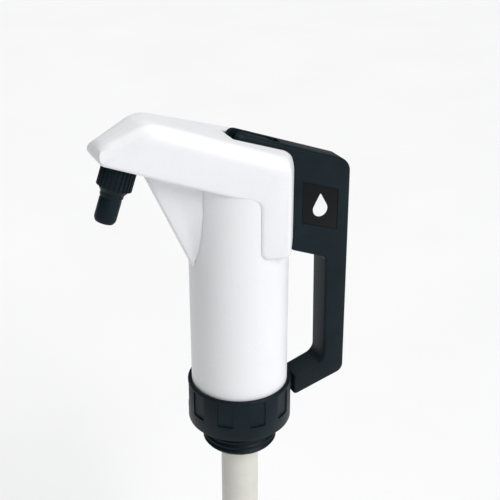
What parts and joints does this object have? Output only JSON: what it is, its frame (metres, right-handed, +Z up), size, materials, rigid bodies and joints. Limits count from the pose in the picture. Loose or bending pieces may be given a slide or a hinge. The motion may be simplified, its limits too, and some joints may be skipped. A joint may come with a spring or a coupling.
{
  "type": "lever barrel pump",
  "caption": "Hand lever pump for a drum bung: white barrel with a sloping spout, black lever handle, bung collar and telescopic suction tube.",
  "frame": {"origin": "centre of the drum bung face the gasket sits on", "axes": "+Z up along the barrel, +X toward the lever handle, -X toward the spout"},
  "size_m": [0.1988, 0.0874, 0.6196],
  "materials": {
    "white_pp": "satin white polypropylene with a fine grain",
    "black_pp": "matt black filled polypropylene",
    "label_black": "semi-gloss inset plate",
    "rubber": "matt",
    "natural_pp": "natural polypropylene",
    "steel": "turned"
  },
  "bodies": {
    "pump": {"barrel": "white_pp", "head_shell_left": "white_pp", "head_shell_right": "white_pp", "outlet_spigot": "natural_pp", "nozzle": "black_pp", "nozzle_gasket": "rubber", "gland_plate": "natural_pp", "rod_seal": "rubber", "gland_retainer": "natural_pp", "pivot_pin": "steel", "bung_adaptor": "black_pp", "bung_gasket": "rubber", "union_seal": "rubber", "foot_valve_cage": "natural_pp", "upper_tube": "natural_pp", "upper_tube_cap": "black_pp"},
    "lever": {"lever": "black_pp", "lever_bush_left": "natural_pp", "lever_bush_right": "natural_pp", "crank_pin": "steel", "label_left": "label_black", "label_right": "label_black"},
    "plunger": {"crosshead": "black_pp", "piston_rod": "steel", "piston": "natural_pp", "piston_seal": "rubber", "valve_stop": "steel", "piston_nut": "steel"},
    "piston_valve": {"piston_valve_disc": "rubber"},
    "foot_valve": {"foot_valve_disc": "rubber"},
    "collar": {"bung_collar": "black_pp"},
    "outlet_nut": {"outlet_nut": "black_pp"},
    "middle_section": {"middle_tube": "natural_pp", "middle_tube_cap": "black_pp"},
    "lower_section": {"lower_tube": "natural_pp", "foot_strainer": "black_pp"}
  },
  "joints": [
    {"name": "lever_swing", "type": "hinge", "parent": "pump", "child": "lever", "pos_m": [0.028, 0, 0.213], "axis": [0, -1, 0], "range_deg": [0, 105]},
    {"name": "plunger_stroke", "type": "slide", "parent": "pump", "child": "plunger", "axis": [0, 0, -1], "range_m": [0, 0.03574]},
    {"name": "piston_valve_lift", "type": "slide", "parent": "plunger", "child": "piston_valve", "axis": [0, 0, 1], "range_m": [0, 0.004]},
    {"name": "foot_valve_lift", "type": "slide", "parent": "pump", "child": "foot_valve", "axis": [0, 0, 1], "range_m": [0, 0.005]},
    {"name": "collar_turn", "type": "hinge", "parent": "pump", "child": "collar", "pos_m": [0, 0, 0.02], "axis": [0, 0, 1], "continuous": true},
    {"name": "outlet_nut_turn", "type": "hinge", "parent": "pump", "child": "outlet_nut", "pos_m": [-0.0886, 0, 0.23001], "axis": [0.3304, 0, 0.9439], "continuous": true},
    {"name": "middle_tube_slide", "type": "slide", "parent": "pump", "child": "middle_section", "axis": [0, 0, -1], "range_m": [0, 0.27]},
    {"name": "lower_tube_slide", "type": "slide", "parent": "middle_section", "child": "lower_section", "axis": [0, 0, -1], "range_m": [0, 0.27]}
  ],
  "couplings": [
    {"joint": "plunger_stroke", "follows": "lever_swing", "m_per_rad": 0.0195}
  ]
}
